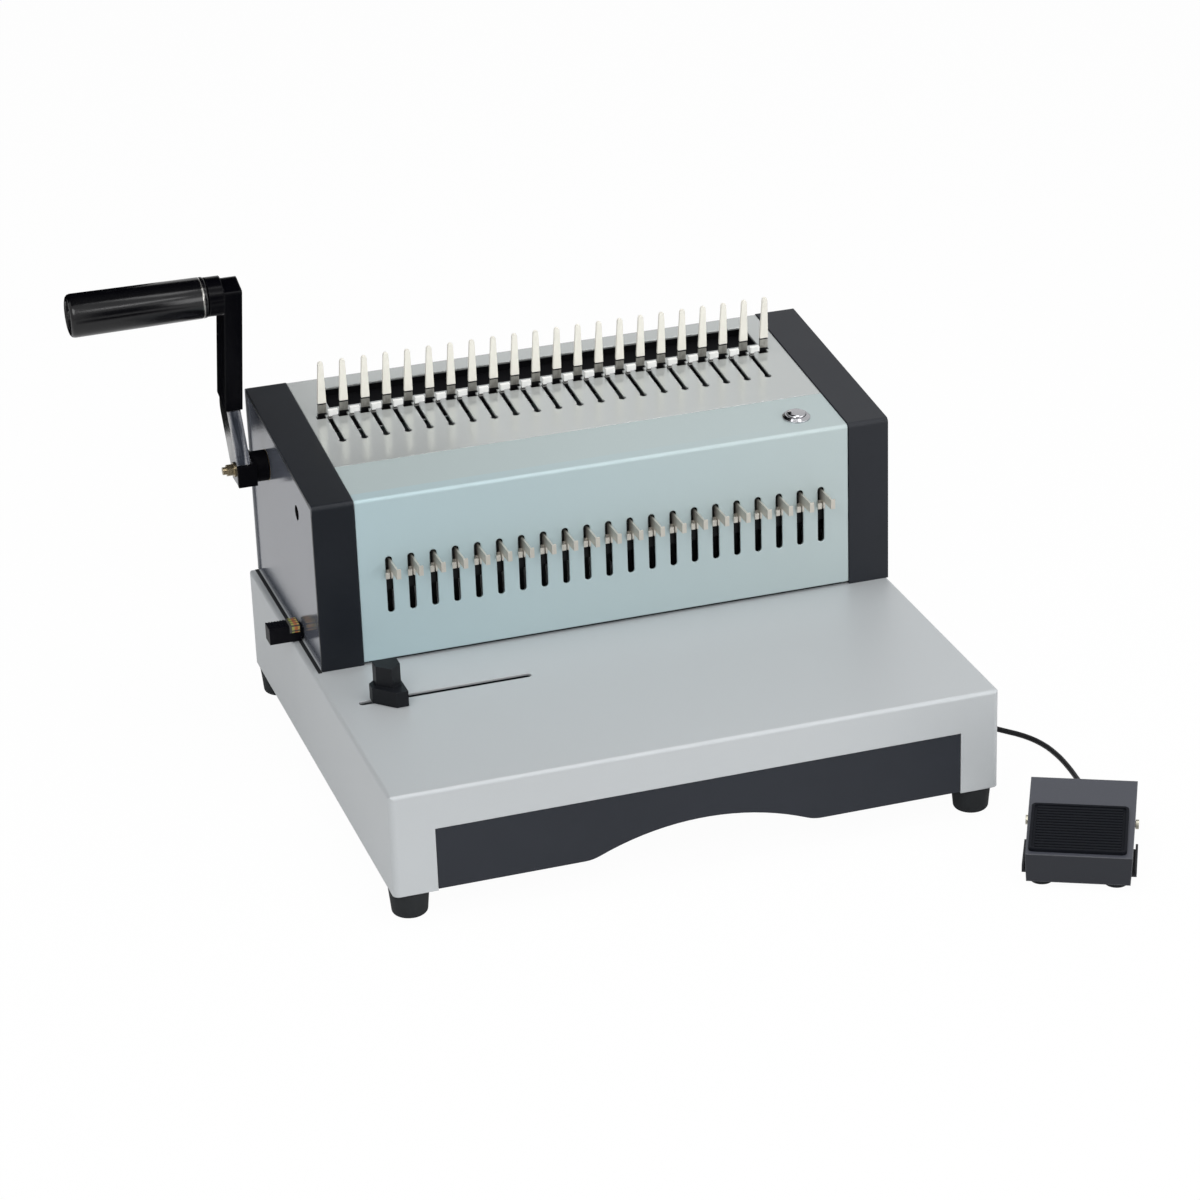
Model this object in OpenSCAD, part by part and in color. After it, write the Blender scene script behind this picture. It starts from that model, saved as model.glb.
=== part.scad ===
// Electric comb binding machine with a foot switch, standing on its rubber feet.
// X runs to the operator's right, Y to the back and Z up. The origin lies on the surface,
// midway between the machine's four feet. The front is at negative Y.

/* [Base] */
// Width of the base
base_w = 385; // [380:1:392]
// Depth of the base
base_d = 350; // [348:1:352]
// Height of the base's top above the surface
base_top = 84; // [84:1:84]
// Height of the rubber feet
foot_h = 18; // [14:1:18]
// Diameter of a foot where it meets the base
foot_d = 25; // [22:1:26]
// Thickness of the base's sheet steel
sheet = 1.5; // [1.2:0.1:1.5]

/* [Housing] */
// Width of the housing over its two end trims
body_w = 378.5; // [378:0.5:380]
// Middle of the housing along X
body_cx = 3.25; // [3:0.25:3.5]
// Front face of the housing along Y
body_front = 4; // [4:1:4]
// Height of the top's front edge
front_top = 195; // [195:1:198]
// Height of the top's back edge
back_top = 212.5; // [211:0.5:214]
// Width of an end trim
band_w = 27; // [27:0.5:28]
// Wall of the end trims
trim_wall = 2.5; // [2:0.1:2.5]
// Rounding of the top front edge
edge_r = 3; // [2.5:0.5:4]

/* [Comb row] */
// Spacing of the binding holes, nine sixteenths of an inch
pitch = 14.2875; // [14.2875:0.0001:14.2875]
// Number of binding holes
holes = 21; // [21:1:21]
// Middle of the row of holes along X
comb_cx = 3.6; // [3.4:0.1:3.8]
// Height of a finger above the top
finger_h = 36.9; // [36:0.1:38]
// Width of a finger at its foot
finger_w = 5.5; // [5:0.5:6]
// Width of a finger at its tip
tip_w = 3.4; // [3:0.2:5]
// Distance of the fingers from the top's front edge
finger_v = 119; // [119:1:119]
// Distance of the closed hooks from the top's front edge
hook_v = 112; // [112:1:112]
// Height of a hook above the top
hook_h = 6; // [5:0.5:7]
// Distance of a hook's post to the left of its hole
hook_side = 5.1; // [4.9:0.1:5.3]

/* [Punch] */
// Downward stroke of the punch bar
punch_stroke = 20; // [12:1:20]
// Height of a selector slot in the front cover
slot_h = 38; // [38:0.5:38]
// Width of a selector slot
slot_w = 4.5; // [4.5:0.1:5]
// Height of the lower end of the selector slots
slot_z = 116.9; // [116.9:0.1:116.9]
// Length of a punched hole
hole_l = 8; // [7:0.5:8]
// Width of a punched hole
hole_w = 3; // [2.5:0.25:3]
// How far a selector stands out of the front cover
tab_out = 16; // [12:1:18]

/* [Lever] */
// Height of the lever's shaft
lever_z = 176; // [176:1:176]
// Lever shaft along Y
lever_y = 128; // [128:1:128]
// Depth of the flat lever bar
bar_d = 20; // [18:1:20]
// Thickness of the lever bar
bar_t = 9; // [8:0.5:9]
// Backward lean of the lever's lower leg
lean_low = 33; // [32:1:34]
// Forward lean of the lever's upper leg
lean_high = 16.5; // [15:0.5:18]
// Length of the lower leg
leg_low = 40.5; // [40:0.5:42]
// Length of the upper leg to the grip's axis
leg_high = 89; // [84:0.5:92]
// Length of the grip
grip_l = 87; // [80:1:90]
// Diameter of the grip at its outer end
grip_d = 27.5; // [27:0.5:30]

/* [Chip drawer] */
// Width of the drawer's front
drawer_w = 332; // [332:1:332]
// Height of the drawer front's top edge
drawer_top = 58.6; // [58.6:0.1:58.6]
// Radius of the finger arch under the drawer's front
arch_r = 172; // [160:1:180]
// Height of the arch's crown above the surface
arch_z = 33.8; // [30:0.1:34]

/* [Foot switch] */
// Width of the foot switch at its front edge
pedal_w = 63; // [63:1:64]
// Length of the foot switch
pedal_l = 85; // [85:1:85]
// Height of its front edge
pedal_front_z = 22; // [22:0.5:23]
// Height of its back edge
pedal_back_z = 29.5; // [29:0.5:31]
// Turn of the foot switch on the floor
pedal_yaw = -27; // [-35:1:-20]
// Diameter of its lead
lead_d = 3.5; // [3:0.1:3.5]

/* [Hidden] */
$fn = 48;
SELECTORS = [for (i = [1 : 21]) str("selector_", i < 10 ? "0" : "", i)];

gap = 0.3;
// Housing: ends, covers between the trims, and the slope of the top
body_l = body_cx - body_w / 2;
body_r = body_cx + body_w / 2;
cover_l = body_l + band_w + 0.2;
cover_r = body_r - band_w - 0.5;
body_back = base_d / 2;
slope = atan((back_top - front_top) / (body_back - body_front));
cover_inset = 0.5;
cover_t = 1.2;
plate_t = 1.5;
seam_v = 47.5;
// Side plates of 3 mm steel, set 1 mm inside the trims' lips
plate_l = body_l + 1;
plate_r = body_r - 1;
side_t = 3;
// Layers under the sloping top, measured square to it
finger_t = 1.5;
comb_top = -cover_inset - plate_t - 0.1;
carriage_top = comb_top - finger_t - 0.4;
carriage_t = 2.5;
notch = [-4.8, 1.4, 113.4];
shoulder = 7.3;
keyhole_v = 81.5;
window = [-141, 150.7, 127, 154.6];
// Lever gearing: two pinions drive two racks on the hook carriage
module_g = 1.5;
pinion_teeth = 24;
pinion_r = module_g * pinion_teeth / 2;
tooth_gap = 0.25;
lever_v = (lever_y - body_front) * cos(slope) + (lever_z - front_top) * sin(slope);
lever_w = -(lever_y - body_front) * sin(slope) + (lever_z - front_top) * cos(slope);
rack_w = lever_w + pinion_r;
rack_face = 5.6;
shaft_r = 6;
bar_x = -206;
grip_x = bar_x - 11;
bend = [leg_low * sin(lean_low), leg_low * cos(lean_low)];
grip_at = bend + leg_high * [-sin(lean_high), cos(lean_high)];
// Punch: bar, pins, selectors and the two heart cams that press the bar down
bar_y = 8;
bar_w = 16;
bar_z = 131;
bar_h = 29;
punch_y = 17.5;
tab_z = slot_z + slot_h - 9.1;
tab_h = 6.5;
tab_foot = 4.8;
throat = 3;
cam_r = 8;
roller_r = 5;
cam_y = 32;
cam_z = bar_z + 9 + roller_r + gap + cam_r;
cam_t = 6;
cam_shaft_r = 5;
// Drawer
drawer_cx = 1;
tray_w = 316;
tray_d = 226;
tray_z = 35;
// Foot switch
pedal_at = [216.5, -243.5];
pedal_slope = atan((pedal_back_z - pedal_front_z) / pedal_l);
pin_y = 14;
pin_z = 15;
// Lead of the foot switch: down from the back panel to its coil, and from the coil to the pedal
lead_x = 150;
lead_z = 100;
coil_at = [104, 216];
coil_r = 20;
coil_d = [14.6, 7.4];
lead_drop = [
    [150, 197.5, 100], [150, 206, 98], [150, 214, 90], [150, 219, 76], [149, 222, 58],
    [148, 226, 40], [146, 230, 23], [141, 235, 10], [133, 239, 4], [122, 241.2, 2],
    [109, 241.4, 2]];
lead_run = [
    [106, 190.6, 5.4], [118, 191.4, 4.8], [132, 194, 3], [148, 198, 2], [166, 202, 2],
    [184, 202, 2], [199, 194, 2], [207, 179, 2], [210, 158, 2], [211, 130, 2], [210, 100, 2], [209, 70, 2],
    [208, 40, 2], [208, 10, 2], [210, -16, 2], [216, -40, 2], [226, -60, 2], [238, -76, 2],
    [248, -89, 2], [254, -103, 2], [256.5, -120, 2], [256.3, -138, 2], [254.6, -154, 2.3],
    [252.1, -167, 3.9], [249.3, -177.3, 6.7], [246.2, -185.1, 8.7], [242.6, -192.3, 9]];

// x of a punched hole, counted from the left
function hole_x(i) = comb_cx + (i - (holes - 1) / 2) * pitch;
// x of a finger, counted from the left; the fingers stand midway between the holes
function finger_x(i) = comb_cx - 1.3 + (i - holes / 2) * pitch;
// Points of an arc about c from angle a0 to a1
function arc(c, r, a0, a1, n = 6) =
    [for (i = [0 : n]) c + r * [cos(a0 + (a1 - a0) * i / n), sin(a0 + (a1 - a0) * i / n)]];
// Point on the top's slope, t below it, at the distance y along Y
function under_top(y, t) =
    [y, front_top + (y - body_front) * tan(slope) - t / cos(slope)];

// Lays a drawing with its first axis along Y and its second along Z, from x0 to x1
module along_x(x0, x1) {
    translate([x0, 0, 0]) rotate([90, 0, 90]) linear_extrude(x1 - x0) children();
}

// Frame of the sloping top: X across, Y up the slope from its front edge, Z square to it
module on_top() {
    translate([0, body_front, front_top]) rotate([slope, 0, 0]) children();
}

// A block given by its lowest and highest corners
module block(low, high) {
    translate(low) cube(high - low);
}

// Rectangle with round corners, about its centre
module round_rect(w, d, r) {
    square([w - 2 * r, d], center = true);
    square([w, d - 2 * r], center = true);
    for (sx = [-1, 1])
        for (sy = [-1, 1])
            translate([sx * (w / 2 - r), sy * (d / 2 - r)]) circle(r);
}

// Slot with round ends, along the drawing's second axis from y0 to y1
module slot(y0, y1, w) {
    translate([-w / 2, y0 + w / 2]) square([w, y1 - y0 - w]);
    translate([0, y0 + w / 2]) circle(w / 2);
    translate([0, y1 - w / 2]) circle(w / 2);
}

// Rod along X
module rod_x(x0, x1, r) {
    translate([x0, 0, 0]) rotate([0, 90, 0]) cylinder(h = x1 - x0, r = r);
}

// Side view of the housing, t inside its outline, with its foot at z
module housing_profile(t, z) {
    front_c = under_top(body_front + edge_r, edge_r);
    back_c = under_top(body_back - edge_r, edge_r);
    polygon(concat(
        [[body_front + t, z]],
        arc(front_c, max(edge_r - t, 0.2), 180, 90 + slope),
        arc(back_c, max(edge_r - t, 0.2), 90 + slope, 0),
        [[body_back - t, z]]));
}

// ---- Base ----

// Folded sheet-steel base: open underneath, with the drawer's mouth in its front
module base_tray() color("silver") {
    r = 2.5;
    half_w = base_w / 2;
    half_d = base_d / 2;
    flange = 22;
    difference() {
        intersection() {
            translate([0, 0, foot_h]) linear_extrude(base_top - foot_h) round_rect(base_w, base_d, 4);
            rotate([90, 0, 0]) linear_extrude(base_d + 2, center = true) soft_top(half_w, r);
            rotate([90, 0, 90]) linear_extrude(base_w + 2, center = true) soft_top(half_d, r);
        }
        translate([0, 0, foot_h - 1])
            linear_extrude(base_top - foot_h + 1 - sheet)
                round_rect(base_w - 2 * sheet, base_d - 2 * sheet, 4 - sheet);
        block([drawer_cx - drawer_w / 2 - 0.4, -half_d - 1, foot_h - 1],
              [drawer_cx + drawer_w / 2 + 0.4, -half_d + sheet + 1, drawer_top + 0.4]);
        block([comb_cx - 158.5, 7, base_top - 5], [comb_cx + 158.5, 33.6, base_top + 1]);
        translate([-121, -47.5, base_top - 5]) rotate([0, 0, 90])
            linear_extrude(6) slot(-55, 55, 5.4);
    }
    for (s = [-1, 1]) {
        difference() {
            block([s > 0 ? half_w - sheet - flange : -half_w + sheet, -half_d + sheet, foot_h],
                  [s > 0 ? half_w - sheet : -half_w + sheet + flange, half_d - sheet, foot_h + sheet]);
            for (y = [-1, 1])
                translate([s * foot_x(), y * foot_y(), foot_h - 1]) cylinder(h = 4, r = 2.25);
        }
        rail(s);
    }
    block([-half_w + sheet + flange, half_d - sheet - flange, foot_h],
          [half_w - sheet - flange, half_d - sheet, foot_h + sheet]);
}

function foot_x() = base_w / 2 - 12.5;
function foot_y() = base_d / 2 - 14;

// Front or side view of a block with rounded top edges
module soft_top(half, r) {
    polygon(concat(
        [[half, foot_h - 1], [half, base_top - r]],
        arc([half - r, base_top - r], r, 0, 90),
        arc([-half + r, base_top - r], r, 90, 180),
        [[-half, foot_h - 1]]));
}

// Angle rail under the base's top that carries one side of the drawer; the left one is
// notched where the edge guide's foot passes
module rail(s) {
    edge = drawer_cx + s * (tray_w / 2 + 6);
    lip = drawer_cx + s * (tray_w / 2 + 1.2);
    wall = drawer_cx + s * (tray_w / 2 + 7.5);
    z = drawer_top - 4.3;
    difference() {
        block([min(edge, wall), -base_d / 2 + 5, z], [max(edge, wall), 60, base_top - sheet]);
        if (s < 0)
            block([-175, -58, base_top - sheet - 7], [-155, -37, base_top - sheet]);
    }
    block([min(lip, wall), -base_d / 2 + 5, z], [max(lip, wall), 60, z + sheet]);
}

// Four feet of the machine and four small ones of the foot switch
module rubber_feet() color([0.12, 0.12, 0.13]) {
    for (sx = [-1, 1])
        for (sy = [-1, 1])
            translate([sx * foot_x(), sy * foot_y(), 0]) difference() {
                rotate_extrude() polygon(concat(
                    [[0, 0]],
                    arc([foot_d / 2 - 4, 2.5], 2.5, -90, 0),
                    [[foot_d / 2, foot_h], [0, foot_h]]));
                translate([0, 0, -1]) cylinder(h = foot_h + 2, r = 2.25);
                translate([0, 0, -1]) cylinder(h = 9, r = 5);
            }
    pedal_place()
        for (sx = [-1, 1])
            for (sy = [-1, 1])
                translate([sx * 22, sy * 32, 0]) cylinder(h = 3, r1 = 6.8, r2 = 7.5);
}

// Drawer under the base that catches the punched chips
module chip_drawer() color([0.22, 0.23, 0.26]) {
    face = -base_d / 2 + 0.5;
    wall = 1.2;
    left = drawer_cx - tray_w / 2;
    right = drawer_cx + tray_w / 2;
    back = face + 3 + tray_d;
    rim = drawer_top - 0.9;
    translate([drawer_cx, face + 3, 0]) rotate([90, 0, 0]) linear_extrude(3) drawer_outline();
    difference() {
        block([left, face + 3, tray_z], [right, back, rim]);
        block([left + wall, face + 3 + wall, tray_z + wall], [right - wall, back - wall, rim + 1]);
    }
    block([left - 3.5, face + 3, rim - 1.5], [left, back, rim]);
    block([right, face + 3, rim - 1.5], [right + 3.5, back, rim]);
}

// Face of the drawer with its finger arch; small rounds lead from the arch into the lower edge
module drawer_outline() {
    low = foot_h + 0.8;
    soft = 25;
    centre_z = arch_z - arch_r;
    reach = sqrt(pow(arch_r + soft, 2) - pow(low + soft - centre_z, 2));
    touch_x = reach * arch_r / (arch_r + soft);
    touch_z = centre_z + (low + soft - centre_z) * arch_r / (arch_r + soft);
    difference() {
        translate([-drawer_w / 2, low]) square([drawer_w, drawer_top - low]);
        translate([0, centre_z]) circle(arch_r, $fn = 180);
        for (s = [-1, 1])
            difference() {
                polygon([[s * (touch_x - 2), low - 1], [s * reach, low - 1], [s * reach, low],
                         [s * touch_x, touch_z]]);
                translate([s * reach, low + soft]) circle(soft, $fn = 96);
            }
    }
}

// Paper edge guide that slides along its slot in the base's top
module edge_guide() color([0.1, 0.1, 0.11]) {
    z = base_top + gap;
    linear_extrude_at(z, z + 10)
        polygon([[-163, -38], [-168, -43], [-168, -50], [-156, -62.3], [-148.3, -62],
                 [-148.3, -38]]);
    linear_extrude_at(z + 10, z + 23)
        polygon([[-164.5, -39.5], [-164.5, -48], [-156.5, -55.5], [-149.3, -49],
                 [-149.3, -39.5]]);
    block([-162, -49.8, base_top - sheet - gap - 3], [-154, -45.2, z]);
    block([-166, -53, base_top - sheet - gap - 3], [-151, -42, base_top - sheet - gap]);
}

module linear_extrude_at(z0, z1) {
    translate([0, 0, z0]) linear_extrude(z1 - z0) children();
}

// ---- Housing ----

// Steel side of the housing, between an end trim's lips
module side_plate(x) {
    along_x(x, x + side_t) difference() {
        intersection() {
            housing_profile(trim_wall + 0.1, base_top);
            translate([0, base_top]) square([base_d, 200]);
        }
        children();
    }
}

module side_plate_left() color([0.57, 0.58, 0.61]) {
    side_plate(plate_l) {
        translate([lever_y, lever_z]) circle(10);
        translate([49, 174]) circle(4.75);
        translate([52.6, base_top - 1]) square([13.4, 10.5]);
    }
    block([plate_l + side_t, 95, base_top], [plate_l + side_t + 12, 160, base_top + 1.5]);
}

module side_plate_right() color([0.57, 0.58, 0.61]) {
    side_plate(plate_r - side_t);
    block([plate_r - side_t - 12, 95, base_top], [plate_r - side_t, 160, base_top + 1.5]);
}

// Moulded trim that wraps the front, top and back of one end
module end_trim(outer, inner) {
    low = min(outer, inner);
    high = max(outer, inner);
    lip = outer < inner ? [inner - 1.5, inner] : [inner, inner + 1.5];
    along_x(low, high) difference() {
        housing_profile(0, base_top);
        housing_profile(trim_wall, base_top - 1);
    }
    along_x(lip[0], lip[1]) difference() {
        housing_profile(trim_wall - 0.1, base_top);
        translate([0, -1]) housing_profile(7.5, base_top - 1);
    }
}

module end_trim_left() color([0.13, 0.14, 0.16]) end_trim(body_l, body_l + band_w);

module end_trim_right() color([0.13, 0.14, 0.16]) end_trim(body_r, body_r - band_w);

// Front cover with the selector slots; its upper strip carries the start button
module front_cover() color([0.68, 0.73, 0.74]) {
    inner = cover_inset + cover_t;
    difference() {
        along_x(cover_l, cover_r) difference() {
            housing_profile(cover_inset, base_top + 2);
            housing_profile(inner, base_top + 1);
        }
        on_top() block([cover_l - 1, seam_v - 0.1, -30], [cover_r + 1, 220, 30]);
        block([cover_l - 1, 60, 0], [cover_r + 1, 200, 250]);
        for (i = [0 : holes - 1])
            translate([hole_x(i), body_front + 4, 0]) rotate([90, 0, 0])
                linear_extrude(8) slot(slot_z, slot_z + slot_h, slot_w);
        on_top() translate([138, 21, -6]) cylinder(h = 12, r = 8.5);
    }
    block([cover_l, body_front + inner, base_top + 2],
          [cover_r, body_front + inner + 1.2, base_top + 2 + cover_t]);
}

// Top plate with the comb window, the hook slots and the finger notches
module top_plate() color([0.75, 0.77, 0.77]) {
    inner = cover_inset + plate_t;
    difference() {
        along_x(cover_l, cover_r) difference() {
            housing_profile(cover_inset, 198);
            housing_profile(inner, 197);
        }
        on_top() {
            block([cover_l - 1, -20, -60], [cover_r + 1, seam_v + 0.1, 30]);
            block([window[0], window[2], -8], [window[1], window[3], 4]);
            for (i = [0 : holes - 1])
                translate([hole_x(i) - hook_side, 0, -8]) linear_extrude(12) hook_slot();
            for (i = [0 : holes])
                translate([finger_x(i), 0, -8]) linear_extrude(12) finger_notch();
        }
    }
    on_top() {
        side_channel(cover_l, 1);
        side_channel(cover_r, -1);
    }
}

// Narrow slot of one hook, with a round front end
module hook_slot() {
    translate([-1.5, keyhole_v]) square([3, hook_v + 3 - keyhole_v]);
    translate([0, keyhole_v]) circle(2.3, $fn = 24);
}

// Notch that lets one finger through, wider in front of the finger's left side
module finger_notch() {
    translate([-3.4, finger_v - 0.7]) square([6.8, finger_t + 1.1]);
    translate([notch[0], notch[2]]) square([notch[1] - notch[0], finger_v - 0.6 - notch[2]]);
}

// Fold under one side of the top plate in which the hook carriage runs
module side_channel(edge, s) {
    low = carriage_top - carriage_t - 0.4;
    leg = edge + s * 1.5;
    lip = edge + s * 3.4;
    block([min(edge, leg), 56, low - 1], [max(edge, leg), 166, -cover_inset - plate_t]);
    block([min(edge, lip), 56, low - 1], [max(edge, lip), 166, low]);
}

// Back panel with louvres and the openings of the inlet and the lead
module back_panel() color([0.7, 0.72, 0.73]) {
    outer = body_back - cover_inset - plate_t - 0.1;
    difference() {
        block([cover_l + 0.2, outer - 1.5, base_top], [cover_r - 0.2, outer, back_top - 4.5]);
        for (x = [-105, -60])
            for (i = [0 : 7])
                translate([x, outer + 1, 104 + i * 10]) rotate([90, 0, 0])
                    linear_extrude(4) rotate([0, 0, 90]) slot(-18, 18, 3.2);
        block([inlet_x() - 14.2, outer - 3, inlet_z() - 10.4],
              [inlet_x() + 14.2, outer + 1, inlet_z() + 39.4]);
        translate([lead_x, outer + 1, lead_z]) rotate([90, 0, 0]) cylinder(h = 4, r = 5);
    }
}

function inlet_x() = 100;
function inlet_z() = 108;

// Inlet for the mains lead with the frame of the power switch above it
module mains_inlet() color([0.1, 0.1, 0.1]) {
    y = body_back - cover_inset - plate_t - 0.1;
    x = inlet_x();
    z = inlet_z();
    difference() {
        union() {
            block([x - 17, y, z - 13.5], [x + 17, y + 1.8, z + 42.5]);
            block([x - 14, y - 26, z - 10.2], [x + 14, y, z + 39.2]);
        }
        translate([x, y + 2.8, z]) rotate([90, 0, 0]) linear_extrude(18) inlet_mouth();
        block([x - 9.6, y - 16, z + 18], [x + 9.6, y + 3, z + 35]);
        translate([x, y - 4.4, z + 26.5]) rod_x(-11, 11, 2.05);
    }
    for (p = [[-7, -1], [7, -1], [0, 3]])
        block([x + p[0] - 1, y - 15.5, z + p[1] - 2], [x + p[0] + 1, y - 2, z + p[1] + 2]);
}

// Mouth of the inlet, a rectangle with two corners cut
module inlet_mouth() {
    polygon([[-12, -8], [12, -8], [12, 3.5], [7.5, 8], [-7.5, 8], [-12, 3.5]]);
}

// Rocker of the power switch on its two pivot pins, tilted to its off position
module power_rocker() color([0.15, 0.15, 0.16]) {
    y = body_back - cover_inset - plate_t;
    translate([inlet_x(), y - 4.5, inlet_z() + 26.5]) rotate([-8, 0, 0]) {
        along_x(-9.2, 9.2) polygon([[-3, -6], [4.6, -7.6], [3.4, 0], [4.6, 7.6], [-3, 6]]);
        rod_x(-10.4, 10.4, 2);
    }
}

// Screws of the back panel, and those that hold the machine's feet from below
module cover_screws() color([0.62, 0.63, 0.65]) {
    y = body_back - cover_inset - plate_t - 0.1;
    for (sx = [-1, 1])
        for (sy = [-1, 1])
            translate([sx * foot_x(), sy * foot_y(), 0]) {
                translate([0, 0, 5]) cylinder(h = 3, r = 4);
                translate([0, 0, 7]) cylinder(h = 17, r = 2.15);
                translate([0, 0, foot_h + sheet]) cylinder(h = 3.2, r = 4.2, $fn = 6);
            }
    for (x = [-148, 5, 154])
        for (z = [92, 192])
            translate([x, y, z]) screw_head();
}

module screw_head() {
    rotate([-90, 0, 0]) difference() {
        cylinder(h = 1.8, r1 = 3.5, r2 = 2.4);
        for (a = [0, 90])
            rotate([0, 0, a]) translate([0, 0, 1.6]) cube([3.4, 0.7, 1.4], center = true);
    }
}

// ---- Comb row ----

// One finger: a bare foot bent up through its notch, a groove, and the thicker tapered finger
module finger() {
    t = finger_t;
    half = finger_w / 2;
    block([-half, finger_v, comb_top - t], [half, finger_v + t, shoulder - 0.5]);
    block([-half + 0.3, finger_v + 0.6, shoulder - 0.6], [half - 0.3, finger_v + t, shoulder + 0.5]);
    translate([0, finger_v + t, 0]) rotate([90, 0, 0]) linear_extrude(t + 0.4)
        polygon(concat(
            [[half, shoulder + 0.4], [half, shoulder + 2]],
            arc([0, finger_h - tip_w / 2], tip_w / 2, 0, 180, 8),
            [[-half, shoulder + 2], [-half, shoulder + 0.4]]));
}

// Steel comb of 22 fingers that holds the plastic comb's rings apart
module comb_fingers() color([0.88, 0.88, 0.86]) on_top() {
    block([finger_x(0) - 6, finger_v, comb_top - finger_t],
          [finger_x(holes) + 6, window[2] - 1.8, comb_top]);
    for (i = [0 : holes])
        translate([finger_x(i), 0, 0]) finger();
}

// Black tray under the comb window
module comb_tray() color([0.07, 0.07, 0.08]) on_top() {
    wall = 1.2;
    low = -8.5;
    difference() {
        block([window[0] - 3, window[2] - 1.4, low], [window[1] + 3, window[3] + 2.4, comb_top]);
        block([window[0] - 3 + wall, window[2] - 1.4 + wall, low + wall],
              [window[1] + 3 - wall, window[3] + 2.4 - wall, 1]);
    }
}

// Hook that draws one ring of the plastic comb open, bent over to the right at its top
module hook() {
    block([-1.2, hook_v - 1.2, carriage_top], [1.2, hook_v + 1.2, hook_h]);
    block([-1.2, hook_v - 1.2, hook_h - 3.4], [5, hook_v + 1.2, hook_h]);
}

// Sliding carriage of the hooks, with a rack under each end
module hook_carriage() color([0.8, 0.8, 0.8]) on_top() {
    low = carriage_top - carriage_t;
    left = cover_l + 1.9;
    right = cover_r - 1.9;
    block([left, 104, low], [right, 116.5, carriage_top]);
    for (x = [left, right - 9])
        block([x, 90, low], [x + 9, 158, carriage_top]);
    for (x = [left + 2.2, right - 2.2 - rack_face])
        rack(x);
    for (i = [0 : holes - 1])
        translate([hole_x(i) - hook_side, 0, 0]) hook();
}

// Rack of straight-flanked teeth facing down, in mesh with a pinion at the lever's shaft
module rack(x) {
    tooth = PI * module_g;
    half = tooth / 4 - tooth_gap;
    flare = module_g * tan(20);
    root = rack_w + 1.25 * module_g;
    along_x(x, x + rack_face) {
        translate([lever_v - 6, root]) square([42, carriage_top - carriage_t - root]);
        for (k = [-1 : 7])
            translate([lever_v + k * tooth, rack_w])
                polygon([[-half - 1.25 * flare, 1.25 * module_g], [-half + flare, -module_g],
                         [half - flare, -module_g], [half + 1.25 * flare, 1.25 * module_g]]);
    }
}

// ---- Lever ----

// Angle in degrees by which an involute of base radius b has turned at radius r
function involute(b, r) = let (a = acos(b / r)) tan(a) * 180 / PI - a;

// Outline of a pinion with a tooth space at the top
module pinion_outline() {
    b = pinion_r * cos(20);
    root = pinion_r - 1.25 * module_g;
    outer = pinion_r + module_g;
    half = 90 / pinion_teeth - tooth_gap / pinion_r * 180 / PI + involute(b, pinion_r);
    steps = 5;
    polygon([for (k = [0 : pinion_teeth - 1]) let (c = 90 + (k + 0.5) * 360 / pinion_teeth) each concat(
        [root * [cos(c - half), sin(c - half)]],
        [for (j = [0 : steps]) let (r = b + (outer - b) * j / steps, a = c - half + involute(b, r))
            r * [cos(a), sin(a)]],
        [for (j = [steps : -1 : 0]) let (r = b + (outer - b) * j / steps, a = c + half - involute(b, r))
            r * [cos(a), sin(a)]],
        [root * [cos(c + half), sin(c + half)]])]);
}

// Lever shaft across the housing with its two pinions
module lever_shaft() color([0.6, 0.6, 0.62]) {
    left = cover_l + 1.9 + 2.2;
    right = cover_r - 1.9 - 2.2 - rack_face;
    on_top() for (x = [left, right])
        along_x(x + 0.3, x + rack_face - 0.3)
            translate([lever_v, lever_w]) pinion_outline();
    translate([0, lever_y, lever_z]) difference() {
        union() {
            rod_x(-193.9, plate_r - side_t - 0.5, shaft_r);
            for (x = [plate_l + 9, cover_l + 11, cover_r - 14, plate_r - 13.5])
                rod_x(x, x + 3, shaft_r + 3);
        }
        rod_x(-200, -180, 3.05);
    }
}

// Bushes of the lever's shaft and of the cam shaft
module shaft_bushes() color([0.72, 0.6, 0.35]) {
    inner_l = plate_l + side_t;
    inner_r = plate_r - side_t;
    translate([0, lever_y, lever_z]) {
        bush(plate_l, inner_l + 3, 9.98, shaft_r + 0.05);
        bush(inner_l, inner_l + 2, 13, 9.9);
        bush(inner_r - 7, inner_r, 10, shaft_r + 0.05);
    }
    translate([0, cam_y, cam_z]) {
        bush(inner_l, inner_l + 6, 9, cam_shaft_r + 0.05);
        bush(inner_r - 6, inner_r, 9, cam_shaft_r + 0.05);
    }
}

module bush(x0, x1, r, bore) {
    difference() {
        rod_x(x0, x1, r);
        rod_x(x0 - 1, x1 + 1, bore);
    }
}

// Black hub on the shaft's end: a boss, a flange behind the lever bar and a cheek in front of it
module lever_hub() color([0.08, 0.08, 0.09]) translate([0, lever_y, lever_z]) {
    bar_right = bar_x + bar_t;
    difference() {
        union() {
            rod_x(bar_right + 0.5, plate_l - 0.6, 10);
            block([bar_right + 0.1, -11.4, -8.7], [bar_right + 3, 10.5, 8]);
            block([bar_x - 0.3, -11.4, -8.7], [bar_right + 3, -8.5, 5.4]);
        }
        rod_x(-194, plate_l + 1, shaft_r + 0.02);
        rod_x(-215, -190, 3.2);
    }
}

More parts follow.
